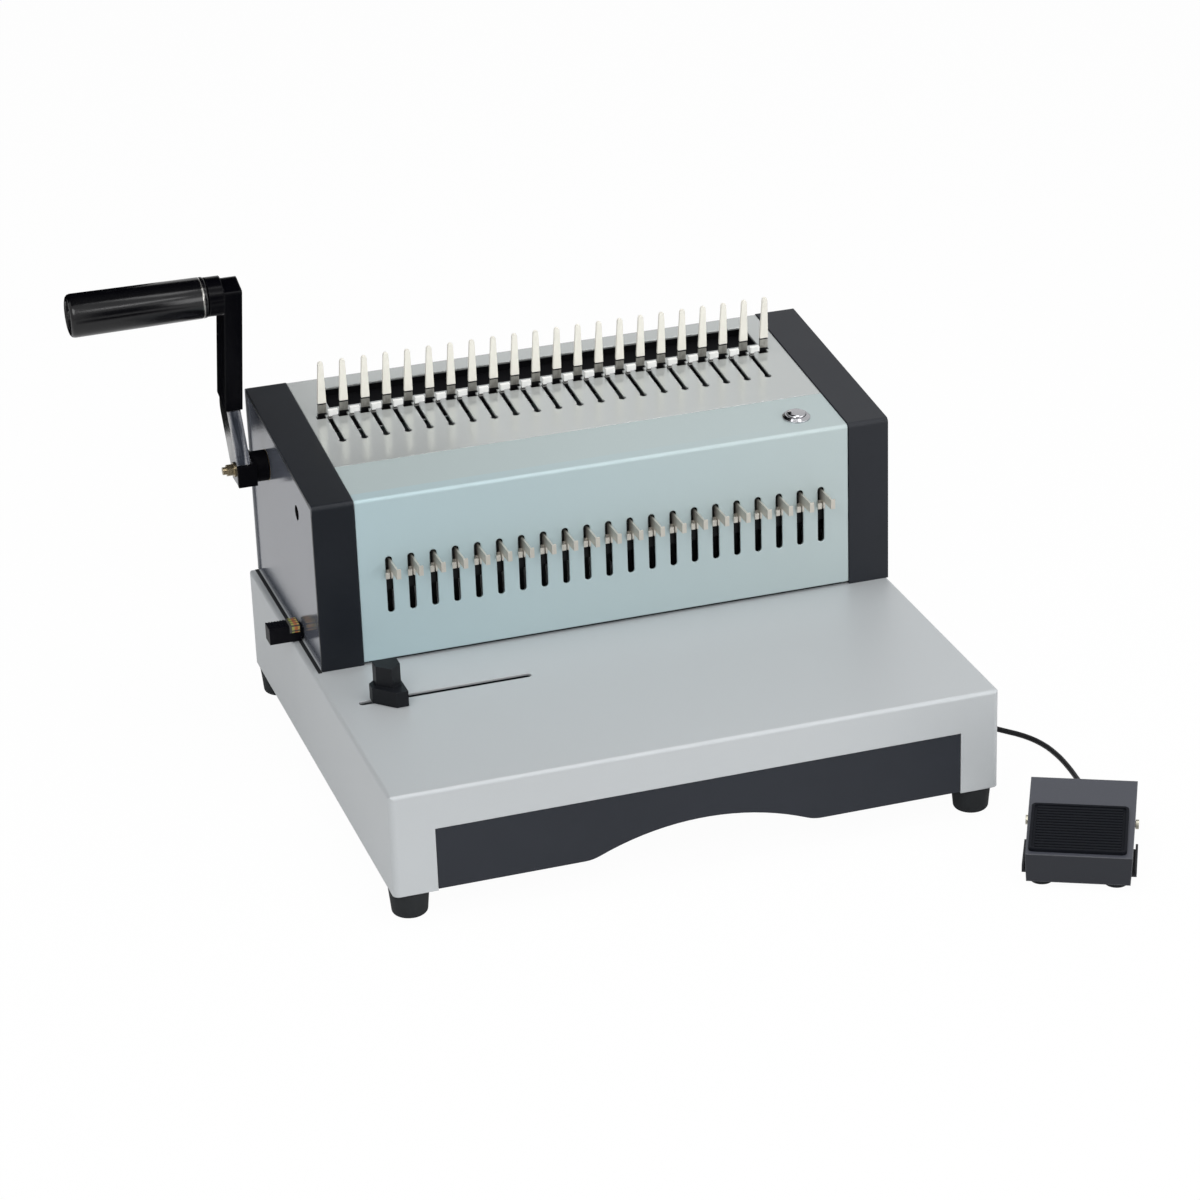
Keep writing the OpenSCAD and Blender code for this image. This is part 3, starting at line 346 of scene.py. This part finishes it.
# ---- Rubber feet ----
# Four black rubber bumpers under the machine's corners, each held by a screw from below, and four
# small ones under the foot switch. They are matt and a little dusty.
def rubber(name, colour, rough=0.62, shine=0.3):
    finish = Finish(name)
    dust = finish.noise(0.006, 4.0, 0.6)
    tone = finish.blend(dust, [c * 0.75 for c in colour], [c * 1.35 + 0.001 for c in colour])
    skin = finish.bump(finish.noise(0.0005), 0.00004, finish.soft_edge(0.0006))
    return finish.done(
        Base_Color=tone, Roughness=dust * 0.2 + rough, Specular_IOR_Level=shine, Normal=skin)


dress(rubber("foot_rubber", (0.014, 0.016, 0.018), shine=0.25), "rubber_feet")


# ---- Chip drawer ----
# A tray under the base that catches the punched chips. It slides on two angle rails, and the arch
# in its dark grey moulded front gives the fingers a hold.
def moulding(name, colour, rough=0.48, grain=0.0005, depth=0.00004, shine=0.3, round_edge=0.0006,
             patch=None, patch_colour=None):
    """Moulded plastic with a fine grain; a patch is as in the paint."""
    finish = Finish(name)
    pits = finish.noise(grain, 2.0, 0.6)
    haze = finish.noise(0.05, 3.0)
    rub_and_sheen = finish.rim(round_edge)
    tone = finish.blend(haze, [c * 0.85 for c in colour], [c * 1.2 for c in colour])
    # Paler colour along sharp edges: partly rubbed wear, partly a painted highlight.
    tone = finish.blend(rub_and_sheen * 0.6, tone, [c * 2.2 + 0.004 for c in colour])
    if patch:
        tone = finish.blend(patch(finish), tone, patch_colour)
    skin = finish.bump(pits, depth, finish.soft_edge(round_edge))
    return finish.done(
        Base_Color=tone, Roughness=haze * 0.12 + rough, Specular_IOR_Level=shine, Normal=skin)


dress(moulding("drawer_front", (0.020, 0.023, 0.030), 0.5, 0.0004, shine=0.22), "chip_drawer")


# ---- Paper edge guide ----
# A black moulding that slides along its slot in the base's top. A foot under the sheet keeps it
# there.
dress(moulding("guide_plastic", (0.006, 0.007, 0.009), 0.36, shine=0.18), "edge_guide")


# ---- Side plates ----
# Steel plates with a glossy grey paint that mirrors what stands close to it. The left one has a round
# opening near its front, painted dark inside as painted shade, and a thin black strip lies along its
# foot as painted shadow.
def shaded_bore(finish):
    """1 in the opening's bore, which is in the left plate alone; the bore is painted dark there as
    painted shade.
    """
    opening_y = 0.049
    opening_z = 0.174
    opening_radius = 0.0049
    away = ((finish.axis(1) - opening_y) ** 2 + (finish.axis(2) - opening_z) ** 2) ** 0.5
    return (1 - away.above(opening_radius)) * (1 - finish.axis(0).above(0))


# The opening's bore is painted near black: painted shade.
dress(silver_paint("side_paint", (0.14, 0.152, 0.185), 0.08, 0.04, 0.25, shine=0.38,
                   patch=shaded_bore, patch_colour=(0.008, 0.008, 0.009)),
      "side_plate_left", "side_plate_right")

# A thin black strip along the left plate's foot: a dark piece standing in for the shadow line there,
# painted shadow.
shade_strip_size = (2.4, 170, 0.3)
shade_strip_middle = (-187.4, 88, 84.15)
shade_strip = block_in_hand(shade_strip_size, shade_strip_middle)
pick_faces(lambda normal: normal.z > 0.9)
bpy.ops.mesh.inset(thickness=0.0004)
bpy.ops.mesh.extrude_region_move(TRANSFORM_OT_translate={"value": (0, 0, -0.0001)})
bpy.ops.object.mode_set(mode="OBJECT")
soften(shade_strip, 0.00006)
fit(shade_strip, "side_shade_strip", rubber("shade_strip_rubber", (0.02, 0.021, 0.023), 0.5), "machine", "rubber_black")


# ---- End trims ----
# Dark mouldings with a fine grain that wrap the front, top and back of each end. The left one carries a
# painted highlight along its brow and is painted grey on its back edge, to look like the side plate
# beside it.
def pale_edges(finish):
    back_from_y = 0.1715
    back_to_x = -0.1848
    brow_to_y = 0.010
    brow_from_z = 0.190
    back = finish.axis(1).above(back_from_y) * (1 - finish.axis(0).above(back_to_x))
    # Pale along the brow's edge: a painted highlight.
    brow_highlight = finish.rim(0.0007) * (1 - finish.axis(1).above(brow_to_y)) * finish.axis(2).above(brow_from_z)
    return finish.maths("MAXIMUM", back, brow_highlight)


# The two trims are one moulding; the right one's lighter colour than the left's is painted light.
dress(moulding("trim_left", (0.0075, 0.0095, 0.0135), 0.30, 0.0004, 0.00003, 0.20, 0.0010,
               patch=pale_edges, patch_colour=(0.25, 0.26, 0.28)), "end_trim_left")
dress(moulding("trim_right", (0.011, 0.013, 0.018), 0.38, 0.0004, 0.00003, 0.30, 0.0010),
      "end_trim_right")


# ---- Covers ----
# Thin painted sheets between the trims. The front cover's silver turns cooler towards its left as a
# painted reflection, the top plate is glossier than it, and the back panel has the louvres.
def painted_reflection_left(finish):
    """Mask of the painted reflection: nothing at the cover's right and on its upper strip, rising to its
    most at the left.
    """
    start_x = 0.14
    run = 0.32
    strip_z = 0.1955
    most = 0.8
    share = finish.maths("MAXIMUM", (start_x - finish.axis(0)) / run, 0.0)
    return finish.maths("MINIMUM", share, 1.0) * (1 - finish.axis(2).above(strip_z)) * most


# The front cover's cooler left part is a painted reflection.
dress(silver_paint("front_paint", (0.460, 0.538, 0.542), 0.34, 0.07, 0.25,
                   patch=painted_reflection_left, patch_colour=(0.42, 0.56, 0.60)), "front_cover")
dress(silver_paint("top_paint", (0.525, 0.55, 0.545), 0.05, 0.05, 0.5), "top_plate")
dress(silver_paint("back_paint", (0.42, 0.46, 0.47), 0.38, 0.08, 0.25), "back_panel")


# ---- Comb row ----
# Fingers painted pale above a grey foot as painted reflection, with a dark band of painted shade between
# the two and painted shade on the foot inside its notch; the hooks before them are painted bright above
# the plate as painted reflection, and their carriage below is painted dark as painted shade.
def above_plate(finish):
    """Height above the sloping top plate, in metres."""
    rise = 17.5
    run = 171
    front_y = 0.004
    front_z = 0.195
    tilt = math.atan(rise / run)
    return (finish.axis(2) - front_z) * math.cos(tilt) - (finish.axis(1) - front_y) * math.sin(tilt)


def comb_metal(name, pale, foot, foot_top, dark_top, pale_nonmetal, shade_band):
    """Metal painted dark up to dark_top above the plate as painted shade, grey up to foot_top and pale
    from there as painted reflection.
    """
    dark = (0.006, 0.006, 0.007)
    finish = Finish(name)
    height = above_plate(finish)
    wear = finish.noise(0.0016, 3.0, 0.6, (1, 1, 0.35))
    is_pale = height.above(foot_top)
    is_out = height.above(dark_top)
    pale_tone = finish.blend(wear, [c * 0.94 for c in pale], [min(c * 1.04, 1) for c in pale])
    foot_tone = finish.blend(wear, [c * 0.45 for c in foot], [min(c * 1.5, 1) for c in foot])
    # Pale above foot_top and grey below it: painted reflection.
    tone = finish.blend(is_pale, foot_tone, pale_tone)
    # A dark band between the two given heights: painted shade.
    tone = finish.blend(height.above(shade_band[0]) * (1 - height.above(shade_band[1])), tone, dark)
    # Dark below dark_top, where the metal lies under the plate: painted shade.
    tone = finish.blend(is_out, dark, tone)
    return finish.done(Base_Color=tone, Metallic=(is_out - is_pale * pale_nonmetal) * 0.5 + 0.05,
                       Roughness=wear * 0.12 + 0.26 + is_pale * 0.08,
                       Normal=finish.bump(wear, 0.00002, finish.soft_edge(0.0004)))


dress(comb_metal("finger_metal", (0.94, 0.915, 0.83), (0.36, 0.35, 0.32), foot_top=0.0076,
                 dark_top=0.0006, pale_nonmetal=0.95, shade_band=(0.0066, 0.0077)), "comb_fingers")
dress(comb_metal("hook_metal", (0.92, 0.92, 0.90), (0.35, 0.35, 0.34), foot_top=0.0020,
                 dark_top=0.0001, pale_nonmetal=0.85, shade_band=(0.0010, 0.0015)), "hook_carriage")
dress(moulding("tray_plastic", (0.003, 0.003, 0.004), 0.6, shine=0.1), "comb_tray")


# ---- Punch ----
# The works inside the housing. The shafts are bright steel and run in bronze bushes; the punch bar,
# the dies and the flat punches are blackened; each punch has a plated selector; the motor is painted.
def plated(name, colour, rough=0.30, metal=1.0, streak=0.1):
    finish = Finish(name)
    lines = finish.noise(0.0008, 3.0, 0.6, (1, 1, 0.08))
    dull = [c * (1 - streak) for c in colour]
    bright = [min(c * (1 + streak), 1) for c in colour]
    tone = finish.blend(lines, dull, bright)
    skin = finish.bump(lines, 0.00002, finish.soft_edge(0.0004))
    return finish.done(
        Base_Color=tone, Metallic=metal, Roughness=lines * 0.14 + max(rough - 0.05, 0.03), Normal=skin)


dress(plated("machined_steel", (0.42, 0.43, 0.44), 0.36), "cam_shaft", "lever_shaft")
dress(plated("black_oxide", (0.006, 0.006, 0.007), 0.5, 0.5), "punch_bar", "die_block", "punch_pins")
dress(plated("bush_bronze", (0.45, 0.33, 0.16), 0.4), "shaft_bushes")
dress(moulding("motor_paint", (0.03, 0.033, 0.04), 0.42), "punch_motor")
selector_plating = plated("selector_plating", (0.60, 0.57, 0.51), 0.34, 0.6)
for number in range(1, 22):
    dress(selector_plating, f"selector_{number:02d}")


# ---- Start button ----
# A domed push button in a turned bezel, both chromium-plated. It stands on the upper strip of the
# front cover, at the right.
dress(plated("chromium", (0.50, 0.50, 0.52), 0.10, 1.0, 0.05), "button_bezel", "push_button")


# ---- Depth control ----
# A ribbed black slider beside the housing at the left, linked to the stop bar behind the throat. A
# small label of coloured bars is wrapped over its inner end.
dress(moulding("slider_plastic", (0.003, 0.003, 0.005), 0.4, shine=0.1), "depth_control")

label_size = (6.6, 12.1, 5.0)
label_middle = (-190.6, 59.75, 93.0)
label = block_in_hand(label_size, label_middle)
pick_faces(lambda normal: normal.z < -0.9)
bpy.ops.mesh.inset(thickness=0.0003)
bpy.ops.mesh.extrude_region_move(TRANSFORM_OT_translate={"value": (0, 0, 0.0046)})
bpy.ops.object.mode_set(mode="OBJECT")
soften(label, 0.0002)

# The bars' colours change along X, and thin black lines cross them on the front and over the top.
label_left = -0.1939
label_width = 0.0066
fold_start = 0.025
fold_run = 0.017
bars = 5
bar_share = 0.72
bar_black = (0.02, 0.02, 0.02)
label_ink = Finish("label_print")
across = (label_ink.axis(0) - label_left) / label_width
round_it = (label_ink.axis(2) - label_ink.axis(1) - fold_start) / fold_run
zone = label_ink.add("ShaderNodeValToRGB", {"stops": [
    (0.0, bar_black), (0.22, (0.36, 0.38, 0.06)), (0.48, (0.50, 0.13, 0.02)),
    (0.8, (0.55, 0.38, 0.09))]}, {"Fac": across})
zone.socket.node.color_ramp.interpolation = "CONSTANT"
dirt = label_ink.noise(0.0012)
tone = label_ink.blend(label_ink.maths("FRACT", round_it * bars).above(bar_share), zone, bar_black)
tone = label_ink.blend(dirt * 0.2, tone, (0.55, 0.52, 0.45))
fit(label, "depth_label", label_ink.done(Base_Color=tone, Roughness=dirt * 0.15 + 0.4), "depth", "zinc")


# ---- Back panel fittings ----
# The mains inlet and the power switch's frame are one black moulding, with a glossy rocker above the
# inlet. Zinc-plated screws hold the panel, and ribbed rubber sleeves guard both ends of the lead.
dress(moulding("inlet_plastic", (0.010, 0.011, 0.013), 0.34), "mains_inlet")
dress(moulding("rocker_plastic", (0.012, 0.012, 0.013), 0.2, depth=0.00001), "power_rocker")
dress(plated("zinc", (0.62, 0.63, 0.64), 0.32), "cover_screws")


def turned(profile, place, along, corners, edge, angle=30):
    """A piece turned on a lathe: (distance, radius) rings in mm from a place along a direction."""
    bpy.ops.object.select_all(action="DESELECT")
    bpy.ops.mesh.primitive_circle_add(vertices=corners, radius=profile[0][1] / 1000, fill_type="NGON")
    piece = bpy.context.object
    bpy.ops.object.mode_set(mode="EDIT")
    bpy.ops.mesh.select_all(action="SELECT")
    for (d0, r0), (d1, r1) in zip(profile, profile[1:]):
        bpy.ops.mesh.extrude_region_move(TRANSFORM_OT_translate={"value": (0, 0, (d1 - d0) / 1000)})
        bpy.ops.transform.resize(value=(r1 / r0, r1 / r0, 1), center_override=(0, 0, d1 / 1000))
    bpy.ops.mesh.select_all(action="SELECT")
    bpy.ops.mesh.remove_doubles(threshold=1e-6)
    bpy.ops.mesh.normals_make_consistent(inside=False)
    bpy.ops.object.mode_set(mode="OBJECT")
    soften(piece, edge, angle)
    turn = Vector(along).to_track_quat("Z", "Y").to_matrix().to_4x4()
    piece.data.transform(Matrix.Translation(Vector(place) / 1000) @ turn)
    return piece


def ribbed_sleeve(length):
    """Flange, then ribs that get thinner towards the lead's end of the sleeve."""
    flange = 1.5
    rib_pitch = 2.2
    rings = [(0, 5.4), (flange, 5.4), (flange, 3.7)]
    ribs = int((length - 3) / rib_pitch)
    for rib in range(ribs):
        start = flange + rib * (length - 2.4) / ribs
        wide = 3.6 - 1.2 * rib / ribs
        narrow = wide - 0.7
        rings += [(start + 1.3, wide), (start + 1.3, narrow)]
        rings += [(start + 2.0, narrow), (start + 2.0, wide - 0.1)]
    return rings + [(length - 0.3, 2.35), (length, 2.1)]


gland_rubber = rubber("gland_rubber", (0.014, 0.014, 0.015), 0.5)
back_gland = turned(ribbed_sleeve(24.3), (150, 172.9, 100), (0, 1, 0), corners=32, edge=0.0002)
fit(back_gland, "gland_back", gland_rubber, "machine", "rubber_black", "lead_glands")
pedal_turn = math.radians(27)
pedal_middle = Vector((216.5, -243.5, 9))
behind = Vector((math.sin(pedal_turn), math.cos(pedal_turn), 0))
pedal_gland = turned(ribbed_sleeve(17.7), pedal_middle + behind * 39.5, behind, corners=32, edge=0.0002)
fit(pedal_gland, "gland_pedal", gland_rubber, "machine", "rubber_black")


# ---- Lever ----
# A bent flat steel bar with bright chromium, whose colour carries painted reflections as dark and light
# streaks along its length and a painted highlight on its edges. It sits in a black hub on the shaft's
# end, where a yellow-zinc screw clamps it.
bar_chrome = Finish("lever_chrome")
reflection_streaks = bar_chrome.noise(0.005, 3.0, 0.6, (1, 0.08, 0.08))
scratch = bar_chrome.noise(0.0009, 3.0, 0.6, (0.15, 1, 1))
# Dark and light streaks in the chromium's colour: painted reflection.
tone = bar_chrome.add("ShaderNodeValToRGB", {"stops": [
    (0.38, (0.020, 0.023, 0.030)), (0.50, (0.085, 0.09, 0.105)), (0.62, (0.27, 0.27, 0.275))]},
    {"Fac": reflection_streaks})
# Pale colour along the bar's edges: painted highlight.
tone = bar_chrome.blend(bar_chrome.rim(0.0006) * 0.5, tone, (0.8, 0.8, 0.8))
bar_skin = bar_chrome.bump(scratch, 0.00003, bar_chrome.soft_edge(0.0008))
dress(bar_chrome.done(Base_Color=tone, Metallic=1.0, Roughness=scratch * 0.2 + 0.08, Normal=bar_skin),
      "lever_bar")
dress(plated("yellow_zinc", (0.34, 0.28, 0.18), 0.26, streak=0.5), "lever_bolt")
dress(moulding("hub_plastic", (0.002, 0.002, 0.003), 0.45, shine=0.05), "lever_hub")


# ---- Lever sleeve ----
# Glossy black plastic over the bar's upper leg, cut square above the bend. It ends in an elbow and a
# collar, where the grip's spindle leaves.
dress(moulding("sleeve_plastic", (0.001, 0.001, 0.002), 0.16, 0.0008, 0.00001, 0.12, 0.0012),
      "lever_sleeve")


# ---- Grip ----
# A smooth tapered tube of black plastic with a domed end, free to turn on the bar's spindle. A
# bright washer shows in the groove near its inner end.
grip_start = (-217, 124.781, 295.301)
grip_profile = [
    (0.3, 12.2), (1.0, 12.9), (2.6, 13.0), (2.6, 12.7), (3.4, 12.7), (3.4, 13.05), (83.9, 13.72),
    (85.6, 13.3), (86.6, 12.2), (87.0, 10.9), (87.0, 9.6), (86.3, 9.0), (86.1, 3.2), (85.4, 2.6),
    (85.2, 0.4)]
grip = turned(grip_profile, grip_start, (-1, 0, 0), corners=96, edge=0.0003, angle=25)
washer_from = -0.22055
washer_to = -0.21945
grip_skin = Finish("grip_plastic")
film = grip_skin.noise(0.02)
pits = grip_skin.noise(0.0009, 2.0)
washer = grip_skin.axis(0).above(washer_from) * (1 - grip_skin.axis(0).above(washer_to))
tone = grip_skin.blend(film, (0.0008, 0.0008, 0.0015), (0.002, 0.002, 0.003))
tone = grip_skin.blend(washer, tone, (0.45, 0.44, 0.42))
grip_material = grip_skin.done(
    Base_Color=tone, Metallic=washer, Roughness=film * 0.08 + 0.14, Specular_IOR_Level=0.4,
    Normal=grip_skin.bump(pits, 0.00001, grip_skin.soft_edge(0.0006)))
fit(grip, "grip_tube", grip_material, "grip", "grip_black", "lever_grip")


# ---- Foot switch ----
# A treadle folded from dark grey painted steel rocks on a pin in its black base; its front skirt is
# painted darker than its top as painted shade, and its edges carry a painted highlight. A ribbed rubber
# pad lies on top.
skirt_top = 0.0219
treadle = Finish("treadle_paint")
speck = treadle.noise(0.0006, 2.0, 0.6)
painted_edge_highlight = treadle.rim(0.0010)
# Darker below skirt_top, on the front skirt: painted shade.
tone = treadle.blend(treadle.axis(2).above(skirt_top), (0.015, 0.017, 0.023), (0.064, 0.068, 0.084))
tone = treadle.blend(speck * 0.3, tone, (0.03, 0.032, 0.038))
# Paler along the treadle's edges: painted highlight.
tone = treadle.blend(painted_edge_highlight * 0.7, tone, (0.17, 0.175, 0.19))
dress(treadle.done(Base_Color=tone, Roughness=speck * 0.12 + 0.38, Specular_IOR_Level=0.3,
                   Normal=treadle.bump(speck, 0.00002, treadle.soft_edge(0.0009))), "treadle")
dress(moulding("pedal_paint", (0.016, 0.017, 0.021), 0.45), "pedal_base")
dress(rubber("pad_rubber", (0.005, 0.006, 0.009), 0.5, shine=0.08), "treadle_pad")
dress(plated("pin_zinc", (0.50, 0.48, 0.40), 0.35), "pedal_pin")


# ---- Floor and light ----
# A plain white floor under five soft lamps. Black cards, which only mirror rays meet, keep dark what
# would otherwise mirror an empty white room.
bpy.ops.mesh.primitive_plane_add(size=24)
floor = bpy.context.object
floor.name = "floor"
white = Finish("floor_white")
diffuse = white.add("ShaderNodeBsdfDiffuse", None, {"Color": (0.90, 0.90, 0.90, 1)})
glow = white.add("ShaderNodeEmission", None, {"Color": (1, 1, 1, 1), "Strength": 1.0})
seen = white.add("ShaderNodeLightPath", out="Is Camera Ray")
mirrored = white.add("ShaderNodeLightPath", out="Is Glossy Ray")
seen_glow = 0.97
mirrored_glow = 0.3
white.add_output(white.add("ShaderNodeMixShader", None, {
    0: seen * seen_glow + mirrored * mirrored_glow, 1: diffuse, 2: glow}))
floor.data.materials.append(white.material)


def softbox(name, place, aim, width, height, power):
    """A rectangular lamp at a place, aimed at another; sizes in metres, power in watts."""
    bpy.ops.object.light_add(type="AREA", location=place)
    lamp = bpy.context.object
    lamp.name = name
    lamp.data.shape = "RECTANGLE"
    lamp.data.size = width
    lamp.data.size_y = height
    lamp.data.energy = power
    lamp.rotation_euler = (Vector(aim) - Vector(place)).to_track_quat("-Z", "Y").to_euler()


softbox("key", (-1.3, -1.8, 1.9), (0, 0, 0.1), 1.2, 1.2, 22)
softbox("overhead", (-0.1, -0.1, 2.2), (-0.05, 0, 0), 2.4, 0.9, 21)
softbox("front", (1.35, -2.3, 0.8), (0, 0, 0.12), 1.4, 1.0, 15)
softbox("strip", (0.31, -2.0, 1.77), (-0.2, 0, 0.25), 1.5, 0.22, 6)
softbox("fill", (1.9, -1.2, 1.0), (0, 0, 0.1), 1.2, 1.2, 7)


def black_card(name, place, aim, width, height):
    bpy.ops.mesh.primitive_plane_add(size=1, location=place)
    card = bpy.context.object
    card.name = name
    card.scale = (width, height, 1)
    card.rotation_euler = (Vector(aim) - Vector(place)).to_track_quat("Z", "Y").to_euler()
    cloth = Finish(name + "_cloth")
    cloth.add_output(cloth.add("ShaderNodeBsdfDiffuse", None, {"Color": (0.004, 0.004, 0.005, 1)}))
    card.data.materials.append(cloth.material)
    for ray in ("camera", "diffuse", "shadow", "transmission", "volume_scatter"):
        setattr(card, "visible_" + ray, False)


black_card("card_back", (-1.2, 2.6, 1.7), (0, 0, 0.2), 3.6, 3.0)
black_card("card_front", (0.3, -2.6, 0.45), (-0.2, 0, 0.3), 1.3, 1.5)
black_card("card_grip", (-0.325, 0.40, 0.26), (-0.325, 0, 0.26), 0.27, 0.34)
black_card("card_above", (-0.2, 0.42, 0.75), (-0.2, 0.42, 0), 0.7, 0.9)
black_card("card_floor", (-0.1, -0.78, 0.003), (-0.1, -0.78, 1), 0.5, 0.66)

room_glow = 0.42
backdrop_glow = 1.0
world = bpy.data.worlds.new("studio")
bpy.context.scene.world = world
world.use_nodes = True
tree = world.node_tree
tree.nodes.clear()
rays = tree.nodes.new("ShaderNodeLightPath")
either = tree.nodes.new("ShaderNodeMath")
either.operation = "MAXIMUM"
tree.links.new(rays.outputs["Is Camera Ray"], either.inputs[0])
tree.links.new(rays.outputs["Is Glossy Ray"], either.inputs[1])
level = tree.nodes.new("ShaderNodeMapRange")
tree.links.new(either.outputs[0], level.inputs["Value"])
level.inputs["To Min"].default_value = room_glow
level.inputs["To Max"].default_value = backdrop_glow
sky = tree.nodes.new("ShaderNodeBackground")
tree.links.new(level.outputs[0], sky.inputs["Strength"])
end = tree.nodes.new("ShaderNodeOutputWorld")
tree.links.new(sky.outputs[0], end.inputs["Surface"])
bpy.context.scene.view_settings.view_transform = "Standard"
